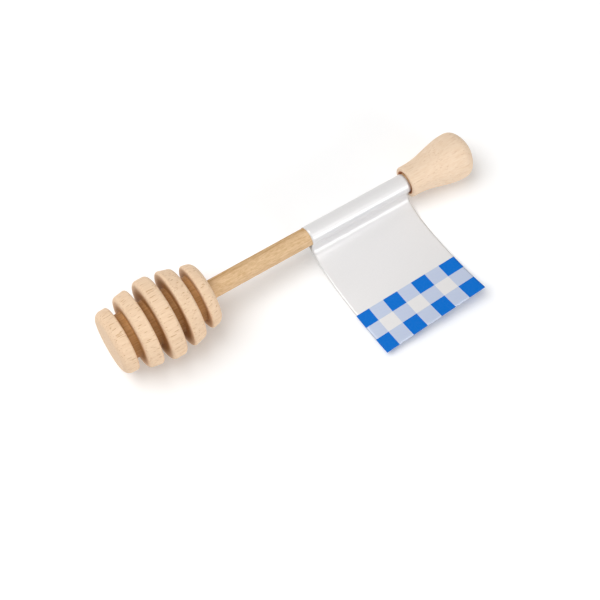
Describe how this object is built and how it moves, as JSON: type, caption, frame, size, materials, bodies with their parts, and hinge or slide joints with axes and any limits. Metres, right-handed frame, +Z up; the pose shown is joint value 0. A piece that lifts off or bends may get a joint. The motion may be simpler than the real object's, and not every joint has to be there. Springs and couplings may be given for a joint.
{
  "type": "honey dipper",
  "caption": "Wooden honey dipper: a grooved barrel head and a bulb knob on a thin dowel, with a loose paper flag label that turns and slides on the dowel.",
  "frame": {"origin": "on the table under the middle of the whole dipper, where it lies", "axes": "+X from the tip of the head towards the knob, level; +Z up; the label's flag lies towards -Y"},
  "size_m": [0.1504, 0.0645, 0.0307],
  "materials": {
    "beech_head": "plain sanded beech, unvarnished, with short dark flecks",
    "dowel_wood": "plain golden-tan dowel with fine lengthwise grain",
    "beech_knob": "plain sanded beech, unvarnished",
    "cured_glue": "cured wood glue, out of sight",
    "label_paper": "smooth white coated paper with a blue and white gingham band"
  },
  "bodies": {
    "dipper": {"dipper_head": "beech_head", "handle_rod": "dowel_wood", "end_knob": "beech_knob", "head_glue": "cured_glue", "knob_glue": "cured_glue"},
    "label_loop": {"label_loop": "label_paper"},
    "label_flag": {"label_flag": "label_paper"}
  },
  "joints": [
    {"name": "label_slide", "type": "slide", "parent": "dipper", "child": "label_loop", "axis": [0.9987, 0, -0.0507], "range_m": [-0.04059, 0]},
    {"name": "label_turn", "type": "hinge", "parent": "label_loop", "child": "label_flag", "pos_m": [0.0261, 0.01695, 0.01124], "axis": [0.9987, 0, -0.0507], "continuous": true}
  ]
}
